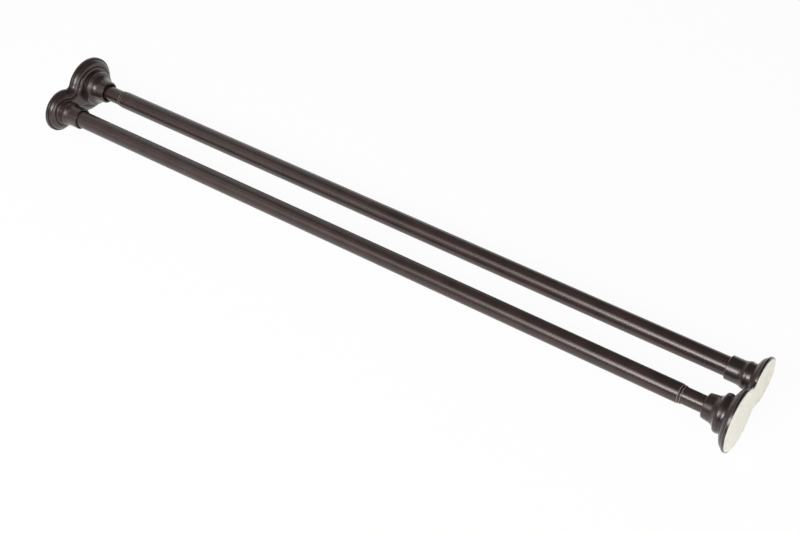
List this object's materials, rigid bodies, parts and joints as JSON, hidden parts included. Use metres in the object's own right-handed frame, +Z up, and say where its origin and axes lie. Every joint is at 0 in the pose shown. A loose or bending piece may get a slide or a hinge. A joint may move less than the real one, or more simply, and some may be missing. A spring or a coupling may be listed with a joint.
{
  "type": "double shower curtain rod",
  "caption": "Double telescoping tension rod: paired bronze tubes between figure-eight wall flanges with bell and collar cups, soft wall pads and spring-loaded twist locks.",
  "frame": {"origin": "on the left wall face, midway between the two rod axes", "axes": "+X along the rods to the right wall, +Y to the rear rod, +Z up"},
  "size_m": [1.118, 0.1474, 0.0848],
  "materials": {
    "bronze_tube": "dark bronze lacquer on rolled steel tube, semi-gloss",
    "bronze_flange": "moulded plastic with a dark bronze coat, satin",
    "cream_pad": "cream soft rubber, matt",
    "grey_bush": "grey nylon, satin",
    "bright_steel": "zinc plated",
    "black_nylon": "moulded nylon"
  },
  "bodies": {
    "left_end": {"left_flange": "bronze_flange", "left_pad": "cream_pad", "rear_inner_tube": "bronze_tube", "rear_inner_plug": "black_nylon", "rear_inner_screw": "bright_steel", "rear_guide_bush": "black_nylon"},
    "front_outer": {"front_outer_tube": "bronze_tube", "front_outer_plug": "black_nylon", "front_swivel_screw": "bright_steel", "front_mouth_bush": "grey_bush"},
    "right_end": {"right_flange": "bronze_flange", "right_pad": "cream_pad", "front_inner_tube": "bronze_tube", "front_inner_plug": "black_nylon", "front_inner_screw": "bright_steel", "front_guide_bush": "black_nylon"},
    "rear_outer": {"rear_outer_tube": "bronze_tube", "rear_outer_plug": "black_nylon", "rear_swivel_screw": "bright_steel", "rear_mouth_bush": "grey_bush"},
    "rear_lock": {"rear_lock_stem": "bright_steel", "rear_lock_core": "black_nylon", "rear_lock_cap": "black_nylon", "rear_lock_spring": "bright_steel"},
    "rear_lock_wedge": {"rear_lock_ring": "black_nylon"},
    "front_lock": {"front_lock_stem": "bright_steel", "front_lock_core": "black_nylon", "front_lock_cap": "black_nylon", "front_lock_spring": "bright_steel"},
    "front_lock_wedge": {"front_lock_ring": "black_nylon"}
  },
  "joints": [
    {"name": "telescope", "type": "slide", "parent": "left_end", "child": "right_end", "axis": [1, 0, 0], "range_m": [-0.025, 0.711]},
    {"name": "front_tube_twist", "type": "hinge", "parent": "left_end", "child": "front_outer", "pos_m": [0.5, -0.03125, 0], "axis": [1, 0, 0], "continuous": true},
    {"name": "rear_tube_twist", "type": "hinge", "parent": "right_end", "child": "rear_outer", "pos_m": [0.618, 0.03125, 0], "axis": [1, 0, 0], "continuous": true},
    {"name": "rear_lock_push", "type": "slide", "parent": "left_end", "child": "rear_lock", "axis": [-1, 0, 0], "range_m": [0, 0.025], "stiffness_N_per_m": 1500, "springref_m": -0.01, "deforming": ["rear_lock_spring"]},
    {"name": "rear_lock_turn", "type": "hinge", "parent": "rear_lock", "child": "rear_lock_wedge", "pos_m": [1.027, 0.03225, 0], "axis": [1, 0, 0], "range_deg": [-28, 28]},
    {"name": "front_lock_push", "type": "slide", "parent": "right_end", "child": "front_lock", "axis": [1, 0, 0], "range_m": [0, 0.025], "stiffness_N_per_m": 1500, "springref_m": -0.01, "deforming": ["front_lock_spring"]},
    {"name": "front_lock_turn", "type": "hinge", "parent": "front_lock", "child": "front_lock_wedge", "pos_m": [0.091, -0.03225, 0], "axis": [1, 0, 0], "range_deg": [-28, 28]}
  ]
}
